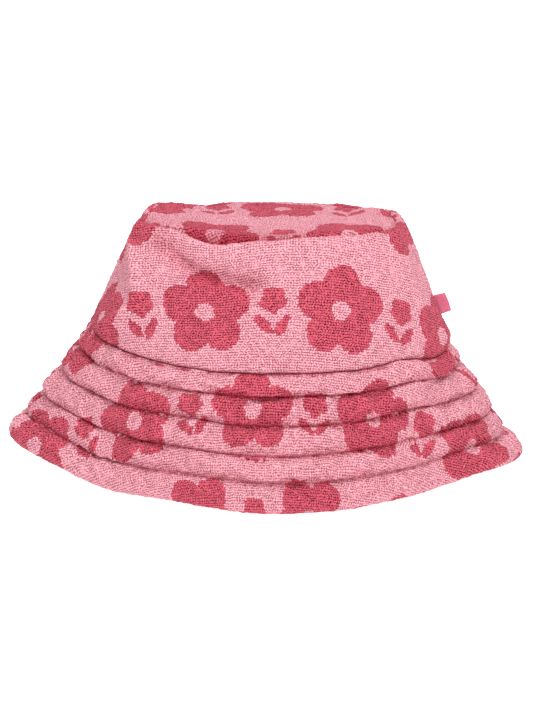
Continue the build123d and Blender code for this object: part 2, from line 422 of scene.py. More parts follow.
def clothOf(panel, angle, distance):
    # Flat cloth coordinates: a half ring of cloth opened out, upright in the middle of the panel
    start, spread, radius = panel["offset"], panel["sector"], panel["radius"]
    away = angle - math.radians(panel["middle"])
    turn = away / math.pi * spread + clothEase * np.sin(2 * away) * spread / math.pi
    reach = radius + distance
    return np.stack([start[0] + reach * np.sin(turn), start[1] + (reach * np.cos(turn) - radius)], -1)


def panelAngles(half, count):
    start, end = {"back": (0.0, math.pi), "front": (math.pi, 2 * math.pi)}[half]
    step = np.linspace(0, 1, count)
    return (start + (end - start) * step)[:, None]


# The side seams: the cloth turns in there, and painted shade darkens its colour
sideSeam = {"width": 1.1 * mm, "depth": 0.5 * mm, "shadeWidth": 0.7 * mm, "shade": 0.4}


def seamDip(angle):
    near = np.abs(np.sin(angle)) * hatForm["headHalf"][0]
    return -sideSeam["depth"] * np.exp(-((near / sideSeam["width"]) ** 2))


def seamShade(angle):
    near = np.abs(np.sin(angle)) * hatForm["headHalf"][0]
    return sideSeam["shade"] * np.exp(-((near / sideSeam["shadeWidth"]) ** 2))


# The crown's walls: each goes from a rolled lip at the head seam up over the ridge
crownCloth = {
    "cell": 0.60 * mm,
    "lip": 2.1 * mm,
    "lipTurn": (-105, -8),  # degrees round the lip's roll
    "lipSteps": 9,
    "ridgeTurn": 205,  # degrees round the ridge where the seam with the tip lies
    "ridgeSteps": 17,
    "ridgeStart": 0.04,
    "bareEdge": 2 * mm,  # the loops are short this near to the cloth's edges
    "insideRidge": (1, 0.1, 4),  # from, to and how many points, on the inner face
    "insideWall": (0.98, 0.06, 12),
    "insideLength": (0.003, 0.075),
    # Painted shade, carried to the terry's colour: along the lip, under the ridge and in the dents
    "footShade": (0.4, 0.6, 1.5 * mm),  # at the sides, more at front and back, how far up
    "ridgeShade": 3.0 * mm,
    "dentShade": 0.42,
    "dentWidth": 1.2,
    "front": {"middle": 270, "offset": (0.512, 0.5075), "sector": 1.08, "radius": -0.240},
    "back": {"middle": 90, "offset": (0.877, 0.7355), "sector": 1.08, "radius": -0.240},
    "flat": (0.262, 0.112),
    "area": 0.0172,
}


def crownPanel(half):
    settings = crownCloth
    angle = panelAngles(half, int(settings["flat"][0] / settings["cell"]))
    wall = crownWall(angle)
    lip, ridge, thick = settings["lip"], hatForm["ridge"], hatForm["terry"]
    lipTurn = np.radians(np.linspace(*settings["lipTurn"], settings["lipSteps"]))[None, :]
    lipShare = lip / wall["length"]
    footX, footY = wallPoint(wall, angle, lipShare, lip)  # centre of the lip's roll
    lipX = footX + lip * (np.cos(lipTurn) * wall["out"][0] + np.sin(lipTurn) * wall["up"][0])
    lipY = footY + lip * (np.cos(lipTurn) * wall["out"][1] + np.sin(lipTurn) * wall["up"][1])
    rise = np.linspace(0, 1, int(hatForm["wallTall"] / settings["cell"]))[None, :]
    share = lipShare + (1 - lipShare) * rise
    wallX, wallY = wallPoint(wall, angle, share, 0.0)
    topOut = wallLumps(angle, np.ones_like(angle))
    centreX = wall["ridge"][0] + wall["out"][0] * topOut
    centreY = wall["ridge"][1] + wall["out"][1] * topOut

    def overRidge(radius, part):  # part is 0 at the wall and 1 at the seam with the tip
        turn = (wall["lean"] - math.pi / 2) * (1 - part) + math.radians(settings["ridgeTurn"]) * part
        return centreX + radius * np.cos(turn), centreY + radius * np.sin(turn)

    ridgeX, ridgeY = overRidge(ridge, np.linspace(settings["ridgeStart"], 1, settings["ridgeSteps"])[None, :])
    outer = upright(angle, np.hstack([lipX, wallX, ridgeX]), np.hstack([lipY, wallY, ridgeY]))
    distance = lengthDown(outer)
    last = distance.max()
    cloth = clothOf(settings[half], angle, distance)
    ends = np.clip(np.minimum(distance, last - distance) / settings["bareEdge"], 0, 1)
    outer = pushOut(outer, side(outer, loopRelief(cloth) * ends + seamDip(angle)))
    backX, backY = overRidge(ridge - thick, np.linspace(*settings["insideRidge"])[None, :])
    downX, downY = wallPoint(wall, angle, np.linspace(*settings["insideWall"])[None, :], thick)
    inside = upright(angle, np.hstack([backX, downX]), np.hstack([backY, downY]))
    points = np.concatenate([outer, inside], axis=1)
    length = last + np.linspace(*settings["insideLength"], inside.shape[1] + 1)[None, :]
    cloth = np.concatenate([cloth, clothOf(settings[half], angle, length)], axis=1)
    # Painted shade along the lip, under the ridge, in the dents and at the side seams
    atSides, atMiddle, tall = settings["footShade"]
    paintedShade = (atSides + atMiddle * np.sin(angle) ** 2) * np.exp(-((distance / tall) ** 2))
    paintedShade = paintedShade + np.exp(-(((last - distance) / settings["ridgeShade"]) ** 2))
    lipShares = np.full((1, settings["lipSteps"]), lipShare.mean())
    shares = np.hstack([lipShares, share.mean(0)[None, :], np.ones((1, settings["ridgeSteps"]))])
    for path, width, out in wallFolds:
        if out < 0:  # painted shade in the dents
            away = pathDistance(angle, shares, path) / (settings["dentWidth"] * width)
            paintedShade = paintedShade + settings["dentShade"] * np.exp(-(away**2))
    paintedShade = np.hstack([paintedShade + seamShade(angle), np.zeros(inside.shape[:2])])
    return stripPiece(f"crown_{half}_terry", points, cloth, paintedShade)


crownFront, crownBack = crownPanel("front"), crownPanel("back")
print("crown walls:", len(crownFront.data.polygons), "faces each")

# The tip: its edge lies tucked under the ridge, and its middle swells up
tipCloth = {
    "rings": 100,
    "spokes": 420,
    "drop": 3.45 * mm,
    "late": 0.0,
    "thickness": hatForm["terry"],
    "clear": 0.35 * mm,  # between the tip's edge and the wall
    "inside": 0.1,  # a level that the faces are turned away from
    "tuck": 1.9 * mm,  # cloth lying flat under the ridge
    "valley": 1.6 * mm,  # how far the front of the tip dips at its seam
    "valleyWidth": 2 * mm,
    "swell": 0.4 * mm,  # the tip's middle over the middle of the ridge
    "steep": 3.8 * mm,  # how far inwards the back takes to rise
    "gentle": 6.4 * mm,  # how much farther the front takes
    "ends": (0.56, 0.96),  # shares of the half width where the left and right ends start and are full
    "endSteep": 0.8 * mm,
    "endTuck": 0.6 * mm,
    "endSwells": ((-58 * mm, 20 * mm, 1.1 * mm), (58 * mm, 18 * mm, 1.1 * mm)),  # place, spread, height
    "waves": ((0.6 * mm, 11 * mm, 17 * mm, 0), (0.4 * mm, 6.3 * mm, -9 * mm, 1)),  # height, x, y, shift
    "frontSpread": 0.62,
    "follow": 7 * mm,  # how far inwards the ridge's unevenness goes on
    "lowRings": 14,
    "underside": 0.7,  # thicknesses that the underside rises later
    # Painted shade near the seam, most along the front behind the ridge and left of the middle
    "seamLine": 3.5 * mm,  # where the seam shows from above
    "shadeMiddle": (-12 * mm, 30 * mm),
    "shadeLeast": 0.12,
    "seamShades": ((0.8, 2 * mm), (0.7, 6 * mm), (0.4, 18 * mm)),  # all round, then twice along the front
    "offset": (0.333, 0.402),
    "flat": (0.140, 0.096),
    "area": 0.0106,
}


def frontShare(y):  # 1 along the front of the tip, 0 along its back
    return np.clip(0.5 - tipCloth["frontSpread"] * y / hatForm["topHalf"][1], 0, 1)


def tipLevel(x, y, inwards, drop):  # the soft tip swells up behind its seam, most steeply at the back
    settings = tipCloth
    halfX, halfY = hatForm["topHalf"]
    front = frontShare(y)
    angle = np.arctan2(y / halfY, x / halfX) % (2 * math.pi)
    level = hatForm["crownHeight"] - hatForm["topSlope"] * x - drop
    inwards = inwards - settings["tuck"]
    follow = np.exp(-np.maximum(inwards, 0) / settings["follow"]) * lumps(angle, softRidge)
    first, full = settings["ends"]
    end = np.clip((np.abs(x) / halfX - first) / (full - first), 0, 1)
    width = settings["steep"] + settings["gentle"] * front**2 * (1 - end) - settings["endSteep"] * end
    rise = np.clip((inwards + settings["endTuck"] * end) / width, 0, 1)
    rise = rise * rise * (3 - 2 * rise)
    sink = settings["valley"] * front * np.clip(inwards / settings["valleyWidth"], 0, 1) * (1 - rise)
    uneven = sum(tall * np.sin(x / long + y / deep + shift) for tall, long, deep, shift in settings["waves"])
    ends = sum(tall * np.exp(-(((x - place) / spread) ** 2)) for place, spread, tall in settings["endSwells"])
    return level + follow - sink + rise * (settings["drop"] + settings["swell"] + ends + uneven)


def tipPanel(name, piece, pile):
    rings, drop, thickness = piece["rings"], piece["drop"], piece["thickness"]
    angle = (np.linspace(0, 2 * math.pi, piece["spokes"] + 1)[:-1])[:, None]
    wall = crownWall(angle)
    depth = hatForm["terry"] + tipCloth["clear"]
    share = shareAt(wall, topLevel(angle) - drop - headLevel(angle), depth)
    rim = upright(angle, *wallPoint(wall, angle, share, depth))
    radius = np.linalg.norm(rim[..., :2], axis=-1)
    offsetX, offsetY = piece["offset"]

    def discOf(reach, late):  # a face of the tip: its points and its place on the flat cloth
        x, y = rim[..., 0] * reach, rim[..., 1] * reach
        level = tipLevel(x, y, radius * (1 - reach) - late, drop)
        return np.stack([x, y, level], -1), np.stack([offsetX + x, offsetY + y], -1)

    reach = np.linspace(1.0 / rings, 1, rings)[None, :]
    lowReach = np.linspace(1, 1.0 / rings, tipCloth["lowRings"])[None, :]
    top, cloth = discOf(reach, piece["late"])
    bottom, lowCloth = discOf(lowReach, piece["late"] + tipCloth["underside"] * thickness)
    bottom[..., 2] -= thickness
    away = radius * (1 - reach)
    if pile:
        top[..., 2] += loopRelief(cloth) * np.clip((away - tipCloth["tuck"]) / tipCloth["valleyWidth"], 0, 1)
    points = np.concatenate([top, bottom], axis=1)
    index = np.arange(points.shape[0] * points.shape[1]).reshape(points.shape[:2])
    there = np.roll(index, -1, 0)
    quads = np.stack([index[:, :-1], there[:, :-1], there[:, 1:], index[:, 1:]], -1).reshape(-1, 4)
    wide = np.concatenate([cloth, lowCloth], axis=1)
    flat = flatCorners(np.concatenate([wide, wide[:1]], axis=0))
    flatPoints = points.reshape(-1, 3)
    poles = (index[:, 0][::-1], index[:, -1])
    faces = facedOut(flatPoints - np.array([0, 0, tipCloth["inside"]]), quads, flat, poles)
    # Painted shade in the valley behind the ridge
    x, y = top[..., 0], top[..., 1]
    place, spread = tipCloth["shadeMiddle"]
    least = tipCloth["shadeLeast"]
    shaded = least + (1 - least) * np.exp(-(((x - place) / spread) ** 2))
    deep = np.maximum(away - tipCloth["seamLine"], 0)
    whole, near, far = (amount * np.exp(-((deep / width) ** 2)) for amount, width in tipCloth["seamShades"])
    paintedShade = shaded * (whole + frontShare(y) * (near + far))
    paintedShade = np.hstack([paintedShade, np.zeros(bottom.shape[:2])])
    made = meshPiece(name, flatPoints, *faces, paintedShade)
    fillPoles(made)
    return made


def fillPoles(piece):  # each round hole filled by one many-sided face becomes a fan
    shape = bmesh.new()
    shape.from_mesh(piece.data)
    flat = shape.loops.layers.uv["cloth"]
    big = [face for face in shape.faces if len(face.verts) > 8]
    for face in big:
        rim = {}
        for corner in face.verts:
            for loop in corner.link_loops:
                if loop.face is not face:
                    rim[loop.vert] = loop[flat].uv.copy()
        middle = sum(rim.values(), Vector((0, 0))) / len(rim)
        made = bmesh.ops.poke(shape, faces=[face])
        for part in made["faces"]:
            part.smooth = True
            for loop in part.loops:
                loop[flat].uv = rim.get(loop.vert, middle)
    shape.normal_update()
    bmesh.ops.recalc_face_normals(shape, faces=shape.faces)
    shape.to_mesh(piece.data)
    shape.free()


crownTip = tipPanel("crown_tip_terry", tipCloth, pile=True)
print("tip:", len(crownTip.data.polygons), "faces")

# The brim: a top and an under sheet, sewn through in four rows, and a rolled hem
brimCloth = {
    "columns": 560,
    "channel": 24,  # points across one channel
    "puff": 2.9 * mm,
    "underPuff": 1.2 * mm,
    "hemPuff": 3.0 * mm,
    "crowd": 0.03,  # points lie closer together by the rows
    "channelShape": (0.66, 5, 0.72),  # powers of the rise and the fall, and their full height
    "channelWaves": ((0.20, 7, 1.9), (0.12, 17, 2.3)),  # share, waves round the hat, shift by channel
    "hemWaves": ((0.08, 9, 0), (0.06, 23, 1)),
    "rollWaves": ((0.05, 13, 0),),
    "hemSteps": 28,
    "hemRise": (2.6, 0.58),  # powers of the hem's rise from the last row
    "rollTurn": (84, -90, 26),  # degrees round the rolled hem, and its points
    "groove": 0.45 * mm,
    "grooveWidth": 0.9 * mm,
    "pucker": 0.50 * mm,
    "puckerReach": 3.4 * mm,
    "puckers": ((1.0, 0.25, 3.1 * mm, 41), (0.6, 0.3, 6.3 * mm, 42)),  # share, stretch, size, seed
    "seam": (-2.0 * mm, 0.55 * mm),  # where the brim meets the crown, out and down
    "seamReach": 0.022,  # share of the brim that is drawn to the seam
    "seamTuck": 0.5 * mm,
    "bareEdge": 3 * mm,  # the loops are short this near to the seam
    "turnUnder": 3.0 * mm,
    "pocket": 0.8 * mm,
    "inside": (0.95, 0.035, 10),  # from, to and how many points, on the inner face
    "insideLength": (0.003, 0.07),
    "takeUp": 0.94,  # flat cloth to a length over the channels
    # Painted shade, carried to the terry's colour: along the rows of thread, broken into dashes, above each row and
    # along the crown seam
    "rowShade": (0.85, 0.45 * mm),
    "rowBreaks": (0.7, 0.5, 2.1 * mm, 51),  # least, spread, size, seed
    "fallShade": (0.34, 3.0 * mm),  # painted shade on the cloth that falls to a row
    "seamShade": (0.3, 0.6, 1.7 * mm),  # at the sides, more at front and back, how far down
    "front": {"middle": 270, "offset": (0.671, 1.018), "sector": 1.58, "radius": -0.162},
    "back": {"middle": 90, "offset": (1.131, 1.207), "sector": 1.58, "radius": -0.162},
    "flat": (0.345, 0.165),
    "area": 0.0305,
}
underCloth = {
    "columns": 430,
    "channel": 15,
    "hemSteps": 12,
    "hemRise": (2.4, 0.6),
    "seamReach": 0.03,
    "pucker": 0.8,  # share of the top sheet's
    "bareEdge": (3 * mm, 1.5 * mm),  # at the crown and at the hem
    "least": 0.1,
    "inside": (0.93, 0.06, 10),
    "front": {"middle": 270, "offset": (1.543, 1.411), "sector": 1.58, "radius": -0.162},
    "back": {"middle": 90, "offset": (1.921, 1.633), "sector": 1.58, "radius": -0.162},
    "flat": (0.320, 0.150),
    "area": 0.0210,
}
brimFelt = {
    "columns": 120,
    "half": 0.8 * mm,  # half its thickness
    "past": 0.55 * mm,  # how far it reaches into the hem
    "steps": (0.97, 0.045, 24),
    "length": 0.14,
    "flat": (0.330, 0.155),
    "area": 0.0225,
}


def channelPath(angle, count, sign, puff):
    # Shares and heights of points across the channels, row by row, up to the last row
    shares, offs, marks = [], [], []
    edge = [0.0 * angle] + [rowShare(angle, row) for row in range(4)]
    rise, fall, tall = brimCloth["channelShape"]
    for channel in range(4):
        step = np.linspace(0, 1, count + 1)[None, :-1]
        step = step - brimCloth["crowd"] * np.sin(2 * math.pi * step)
        wide = edge[channel + 1] - edge[channel]
        full = step**rise * (1 - step**fall) ** 0.5 / tall  # the padding sinks towards the hem
        swell = 1 + waves(angle, brimCloth["channelWaves"], channel)
        offs.append(sign * (hatForm["rowLevel"] + puff * full * swell))
        shares.append(edge[channel] + wide * step)
        marks.append(np.minimum(step, 1 - step) * wide)
    return np.hstack(shares), np.hstack(offs), np.hstack(marks)


def quiltedFace(slope, share, off, seam, reach):  # drawn to its seam at the crown
    x, y = brimPoint(slope, share, off)
    lead = np.exp(-share / reach)
    return upright(slope["angle"], x + (seam[0] - x[:, :1]) * lead, y + (seam[1] - y[:, :1]) * lead)


def puckers(cloth, away):  # little gathers where the thread pulls the cloth down
    settings = brimCloth
    along, down = cloth[..., 0], cloth[..., 1]
    pull = 0.0
    for share, stretch, size, seed in settings["puckers"]:
        pull = pull + share * noiseOn(along, down * stretch, size, seed)
    gathers = settings["pucker"] * pull * np.exp(-away / settings["puckerReach"])
    return gathers - settings["groove"] * np.exp(-((away / settings["grooveWidth"]) ** 2))


# The brim's fullness is settled as simulated cloth
settleCloth = {
    "every": (3, 3),  # columns and points of the fine grid to one of the simulated sheet
    "frames": 18,
    "slack": 0.055,  # cloth longer than the seam it's sewn to
    "pressure": 2.0,
    "most": 1.3 * mm,  # how far a point may move
    "quality": 7,
    "mass": 0.05,
    "airDamping": 4.0,
    "stretch": 18,  # stiffness against stretching and squeezing
    "shear": 8,
    "bending": 0.6,
}


def gathered(points, rows, name):
    # The sheet is sewn down along its rows; slack and pressure swell and gather it between them
    settings = settleCloth
    everyColumn, everyPlace = settings["every"]
    columns = np.unique(np.r_[0 : len(points) : everyColumn, len(points) - 1])
    places = np.unique(np.r_[0 : points.shape[1] : everyPlace, np.array(rows), points.shape[1] - 1])
    coarse = points[np.ix_(columns, places)]
    count, around = coarse.shape[:2]
    index = np.arange(count * around).reshape(count, around)
    quads = np.stack([index[:-1, :-1], index[1:, :-1], index[1:, 1:], index[:-1, 1:]], -1).reshape(-1, 4)
    if side(coarse, 1.0) < 0:
        quads = quads[:, ::-1]
    mesh = bpy.data.meshes.new(name)
    mesh.from_pydata(coarse.reshape(-1, 3).tolist(), [], quads.tolist())
    sheet = bpy.data.objects.new(name, mesh)
    bpy.context.scene.collection.objects.link(sheet)
    held = np.zeros((count, around), bool)
    held[[0, -1], :] = True
    held[:, np.isin(places, rows)] = True
    held[:, -1] = True
    pins = sheet.vertex_groups.new(name="sewn")
    pins.add(index[held].tolist(), 1.0, "REPLACE")
    cloth = sheet.modifiers.new("cloth", "CLOTH")
    made = cloth.settings
    made.quality, made.mass, made.air_damping = settings["quality"], settings["mass"], settings["airDamping"]
    made.tension_stiffness = made.compression_stiffness = settings["stretch"]
    made.shear_stiffness, made.bending_stiffness = settings["shear"], settings["bending"]
    made.vertex_group_mass, made.shrink_min = "sewn", -settings["slack"]
    made.use_pressure, made.uniform_pressure_force = True, settings["pressure"]
    made.effector_weights.gravity = 0
    cloth.collision_settings.use_collision = False
    cloth.point_cache.frame_start, cloth.point_cache.frame_end = 1, settings["frames"]
    for moment in range(1, settings["frames"] + 1):
        bpy.context.scene.frame_set(moment)
    bpy.ops.object.select_all(action="DESELECT")
    bpy.context.view_layer.objects.active = sheet
    sheet.select_set(True)
    bpy.ops.object.modifier_apply(modifier="cloth")
    settled = np.array([corner.co for corner in sheet.data.vertices]).reshape(coarse.shape)
    bpy.context.scene.frame_set(1)
    bpy.data.objects.remove(sheet)
    moved = settled - coarse
    far = np.linalg.norm(moved, axis=-1, keepdims=True)
    moved *= np.minimum(1, settings["most"] / np.maximum(far, 1e-9))
    mean, most = (round(float(value) / mm, 2) for value in (far.mean(), far.max()))
    print(name, "moved", mean, "mm on average,", most, "at most")
    fine = np.arange(len(points))
    across = np.zeros((len(points), around, 3))
    for place in range(around):
        for axis in range(3):
            across[:, place, axis] = np.interp(fine, columns, moved[:, place, axis])
    spot = np.interp(np.arange(points.shape[1]), places, np.arange(around))
    low = np.minimum(spot.astype(int), around - 2)
    part = (spot - low)[None, :, None]
    return points + across[:, low] * (1 - part) + across[:, low + 1] * part


def brimPanel(half):
    settings = brimCloth
    angle = panelAngles(half, settings["columns"])
    slope = brimSlope(angle)
    share, off, mark = channelPath(angle, settings["channel"], 1, settings["puff"])
    last = rowShare(angle, 3)
    radius, rowHeight = hatForm["hemRadius"], hatForm["rowLevel"]
    step = np.linspace(0, 1, settings["hemSteps"])[None, :]
    crest = settings["hemPuff"] * (1 + waves(angle, settings["hemWaves"]))
    first, second = settings["hemRise"]
    rising = (1 - (1 - step) ** first) ** second
    settle = step**2 * (3 - 2 * step)
    hemShare = last + (1 - last) * step
    hemOff = rowHeight + crest * rising * (1 - settle) + (radius - rowHeight) * rising * settle
    turn = np.radians(np.linspace(*settings["rollTurn"]))[None, :]
    flatten = 1 + waves(angle, settings["rollWaves"])
    rollShare = 1 + radius * flatten * np.cos(turn) / slope["length"]
    rollOff = radius * np.sin(turn) + 0.0 * angle
    rollMark = (1 - last) + 0.0 * (turn + angle)
    allShare = np.hstack([share, hemShare, rollShare])
    away = np.hstack([mark, hemShare - last, rollMark]) * slope["length"]
    seam = settings["seam"][0], headLevel(angle) - settings["seam"][1]
    outer = quiltedFace(slope, allShare, np.hstack([off, hemOff, rollOff]), seam, settings["seamReach"])
    distance = lengthDown(outer)
    cloth = clothOf(settings[half], angle, -distance * settings["takeUp"])
    rows = [settings["channel"] * k for k in range(5)]
    top = share.shape[1] + step.shape[1]
    outer[:, :top] = gathered(outer[:, :top], rows, f"settling_{half}")
    relief = loopRelief(cloth) + puckers(cloth, away)
    relief = relief * np.clip(distance / settings["bareEdge"], 0, 1) + seamDip(angle)
    outer = pushOut(outer, side(outer, relief))
    outer[..., 2] = np.maximum(outer[..., 2], hatForm["floorGap"])
    inside = brimInside(angle, slope, *seam)
    paintedShade = brimShade(angle, slope, share, away, distance, cloth)
    paintedShade = np.hstack([paintedShade, np.zeros(inside.shape[:2])])
    length = distance.max() + np.linspace(*settings["insideLength"], inside.shape[1] + 1)[None, :]
    cloth = np.concatenate([cloth, clothOf(settings[half], angle, -length)], axis=1)
    return stripPiece(f"brim_top_{half}_terry", np.concatenate([outer, inside], axis=1), cloth, paintedShade)


def brimInside(angle, slope, seamX, seamY):  # the inner face, from the turned-under hem back to the crown
    settings = brimCloth
    under = 1 - settings["turnUnder"] / slope["length"]
    pocket = 1 + settings["pocket"] / slope["length"]
    level, start = hatForm["layerStart"], -(hatForm["rowLevel"] + settings["underPuff"])
    turned = [(under, start), (under, -level), (pocket, -level), (pocket, level)]
    turned += [(back, level) for back in np.linspace(*settings["inside"])]
    places = [brimPoint(slope, share, off) for share, off in turned]
    return sections(angle, places + [(seamX, seamY - settings["seamTuck"])])


def brimShade(angle, slope, share, away, distance, cloth):  # painted shade along the rows of thread and the seam
    settings = brimCloth
    beyond = np.full((len(angle), away.shape[1] - share.shape[1]), 1e3)
    before = np.hstack([beforeRow(share, angle), beyond]) * slope["length"]
    least, spread, size, seed = settings["rowBreaks"]
    broken = least + spread * noiseOn(cloth[..., 0], cloth[..., 1], size, seed)
    amount, width = settings["rowShade"]
    paintedShade = amount * broken * np.exp(-((away / width) ** 2))
    amount, width = settings["fallShade"]
    paintedShade = paintedShade + amount * np.exp(-before / width)
    atSides, atMiddle, width = settings["seamShade"]
    paintedShade = paintedShade + (atSides + atMiddle * np.sin(angle) ** 2) * np.exp(-((distance / width) ** 2))
    return paintedShade + seamShade(angle)


def beforeRow(share, angle):  # how far a point lies above the next row of stitching
    gap = 1e3 + 0.0 * share
    for row in range(4):
        step = rowShare(angle, row) - share
        gap = np.where((step >= -1e-9) & (step < gap), np.maximum(step, 0), gap)
    return gap


def underPanel(half):
    settings, puff = underCloth, brimCloth["underPuff"]
    angle = panelAngles(half, settings["columns"])
    slope = brimSlope(angle)
    share, off, mark = channelPath(angle, settings["channel"], -1, puff)
    last = rowShare(angle, 3)
    end = 1 - (brimCloth["turnUnder"] + hatForm["gap"]) / slope["length"]
    step = np.linspace(0, 1, settings["hemSteps"])[None, :]
    hemShare = last + (end - last) * step
    first, second = settings["hemRise"]
    full = (1 - (1 - step) ** first) ** second
    hemOff = -(hatForm["rowLevel"] + puff * full) + 0.0 * angle
    allShare = np.hstack([share, hemShare])
    away = np.hstack([mark, hemShare - last]) * slope["length"]
    seam = brimEdge(slope, off[:, :1])
    outer = quiltedFace(slope, allShare, np.hstack([off, hemOff]), seam, settings["seamReach"])
    distance = lengthDown(outer)
    cloth = clothOf(settings[half], angle, -distance)
    atCrown, atHem = settings["bareEdge"]
    relief = loopRelief(cloth) + settings["pucker"] * puckers(cloth, away)
    relief = relief * np.clip(distance / atCrown, 0, 1)
    relief = relief * np.clip((distance.max() - distance) / atHem, settings["least"], 1) + seamDip(angle)
    outer = pushOut(outer, -side(outer, relief))
    outer[..., 2] = np.maximum(outer[..., 2], hatForm["floorGap"])
    level = -hatForm["layerStart"]
    places = [brimPoint(slope, back, level) for back in [end] + list(np.linspace(*settings["inside"]))]
    inside = sections(angle, places + [brimEdge(slope, level)])
    length = distance.max() + np.linspace(*brimCloth["insideLength"], inside.shape[1] + 1)[None, :]
    cloth = np.concatenate([cloth, clothOf(settings[half], angle, -length)], axis=1)
    return stripPiece(f"brim_under_{half}_terry", np.concatenate([outer, inside], axis=1), cloth)


def feltPanel(half):
    settings = brimFelt
    angle = panelAngles(half, settings["columns"])
    slope = brimSlope(angle)
    shares = [1 + settings["past"] / slope["length"]] + list(np.linspace(*settings["steps"]))
    places = [brimPoint(slope, share, settings["half"]) for share in shares[::-1]]
    places += [brimPoint(slope, share, -settings["half"]) for share in shares]
    length = np.linspace(0, settings["length"], len(places) + 1)[None, :]
    cloth = clothOf(brimCloth[half], angle, -length)
    return stripPiece(f"brim_felt_{half}", sections(angle, places), cloth)


brimTops = [brimPanel("front"), brimPanel("back")]
brimUnders = [underPanel("front"), underPanel("back")]
brimFelts = [feltPanel("front"), feltPanel("back")]
print("brim:", [len(piece.data.polygons) for piece in brimTops + brimUnders], "faces")

# The cotton lining of the wall and the tip, and the sweatband on it
liningCloth = {
    "thickness": 0.8 * mm,
    "columns": 260,
    "rows": 40,
    "start": 0.3 * mm,  # over the head seam
    "below": 8.4 * mm,  # under the top's level
    "flat": (0.255, 0.105),
    "area": 0.0130,
}
liningTip = {
    "rings": 90,
    "spokes": 240,
    "drop": 5.8 * mm,
    "late": 3.2 * mm,
    "thickness": 0.8 * mm,
    "offset": (0.2, 0.2),
    "flat": (0.138, 0.094),
    "area": 0.0103,
}
bandCloth = {
    "thickness": 1.0 * mm,
    "columns": 520,
    "rows": 30,
    "start": 0.3 * mm,
    "height": 0.025,
    "slit": 0.002,  # half the gap between its ends at the back, in radians
    "panel": {"middle": 270, "offset": (0.5, 0.5), "sector": 1.0, "radius": -0.24},
    "flat": (0.505, 0.026),
}


def liningStrip(name, piece, angle, low, high, depth, panel):
    wall = crownWall(angle)
    count, deeper = piece["rows"], depth + piece["thickness"]
    rise = low + (high - low) * np.linspace(0, 1, count)[None, :]
    outerX, outerY = wallPoint(wall, angle, shareAt(wall, rise, depth), depth)
    innerX, innerY = wallPoint(wall, angle, shareAt(wall, rise, deeper), deeper)
    points = upright(angle, np.hstack([outerX, innerX[:, ::-1]]), np.hstack([outerY, innerY[:, ::-1]]))
    tall = np.mean(high - low)
    length = np.concatenate([np.linspace(0, tall, count), np.linspace(tall, 0, count), [0]])[None, :]
    return stripPiece(name, points, clothOf(panel, angle, length))


def liningWall(half):
    settings = liningCloth
    angle = panelAngles(half, settings["columns"])
    high = topLevel(angle) - headLevel(angle) - settings["below"]
    depth = hatForm["terry"] + hatForm["gap"]
    name = f"crown_lining_{half}"
    return liningStrip(name, settings, angle, settings["start"], high, depth, crownCloth[half])


def bandAngles(slit, count):  # once round from the back, open there
    return np.linspace(math.pi / 2 + slit, 2.5 * math.pi - slit, count)[:, None]


bandDepth = hatForm["terry"] + liningCloth["thickness"] + 2 * hatForm["gap"]


linings = [liningWall("front"), liningWall("back")]
tipLining = tipPanel("tip_lining", liningTip, pile=False)
bandAngle = bandAngles(bandCloth["slit"], bandCloth["columns"])
sweatband = liningStrip(
    "sweatband_cotton",
    bandCloth,
    bandAngle,
    bandCloth["start"],
    bandCloth["height"],
    bandDepth,
    bandCloth["panel"],
)
print("linings and sweatband made")

# A ribbon folded in half and sewn into the right side seam
labelRibbon = {
    "height": 0.0108,
    "reach": 0.0064,
    "sewnIn": 1.2 * mm,  # ribbon inside the seam
    "ply": 0.35 * mm,
    "fold": 0.2 * mm,
    "level": 0.0215,  # up the wall
    "lean": 0.06,
    "belly": 0.1 * mm,
    "bends": (0.4, 0.8, 0.5),  # shares of the reach where the two outer and the inner faces bend
    "taper": 0.05,
    "curl": (0.5 * mm, 3.0, 0.4),  # height at the fold, waves across, shift
    "sway": (0.25 * mm, 4.0),
    "rows": 15,
    "flat": (0.0108, 0.0155),
}


def labelOutline(settings, reach):  # the folded ribbon seen from its edge: outwards, and across its plies
    inner = settings["fold"] / 2
    half = inner + settings["ply"]
    near, far, innerBend = (share * reach for share in settings["bends"])
    outline = [(0, half), (near, half + settings["belly"]), (far, half)]
    for turn in np.radians(np.linspace(75, -75, 7)):
        outline.append((reach - half + half * math.cos(turn), half * math.sin(turn)))
    outline += [(far, -half), (near, -half - settings["belly"]), (0, -half)]
    outline += [(0, -inner), (innerBend, -inner)]
    for turn in np.radians(np.linspace(-70, 70, 5)):
        outline.append((reach - half + inner * math.cos(turn), inner * math.sin(turn)))
    return outline + [(innerBend, inner), (0, inner)]


def labelPiece():
    settings = labelRibbon
    angle = np.array([[0.0]])
    wall = crownWall(angle)
    share = settings["level"] / wall["length"]
    foot = Vector(upright(angle, *wallPoint(wall, angle, share, settings["sewnIn"]))[0, 0])
    out = Vector((wall["out"][0][0, 0], 0, wall["out"][1][0, 0]))
    up = Vector((wall["up"][0][0, 0], 0, wall["up"][1][0, 0]))
    across = out.cross(up)
    reach = settings["reach"] + settings["sewnIn"]
    outline = labelOutline(settings, reach)
    rows = np.linspace(-0.5, 0.5, settings["rows"])
    points = np.zeros((len(rows), len(outline), 3))
    curlHeight, curlWaves, curlShift = settings["curl"]
    swayHeight, swayWaves = settings["sway"]
    for i, row in enumerate(rows):
        for j, (far, over) in enumerate(outline):
            curl = curlHeight * (far / reach) ** 2 * math.sin(curlWaves * row + curlShift)
            sway = swayHeight * math.cos(swayWaves * row)
            rise = row * settings["height"] * (1 - settings["taper"] * far / reach) - settings["lean"] * far
            points[i, j] = foot + out * (far + sway) + up * rise + across * (over + curl)
    ring = outline + outline[:1]
    lengths = np.concatenate([[0], np.cumsum([math.dist(a, b) for a, b in zip(ring[:-1], ring[1:])])])
    cloth = np.stack(np.broadcast_arrays(lengths[None, :], (rows * settings["height"])[:, None]), -1)
    return stripPiece("side_label_ribbon", points, cloth)


label = labelPiece()

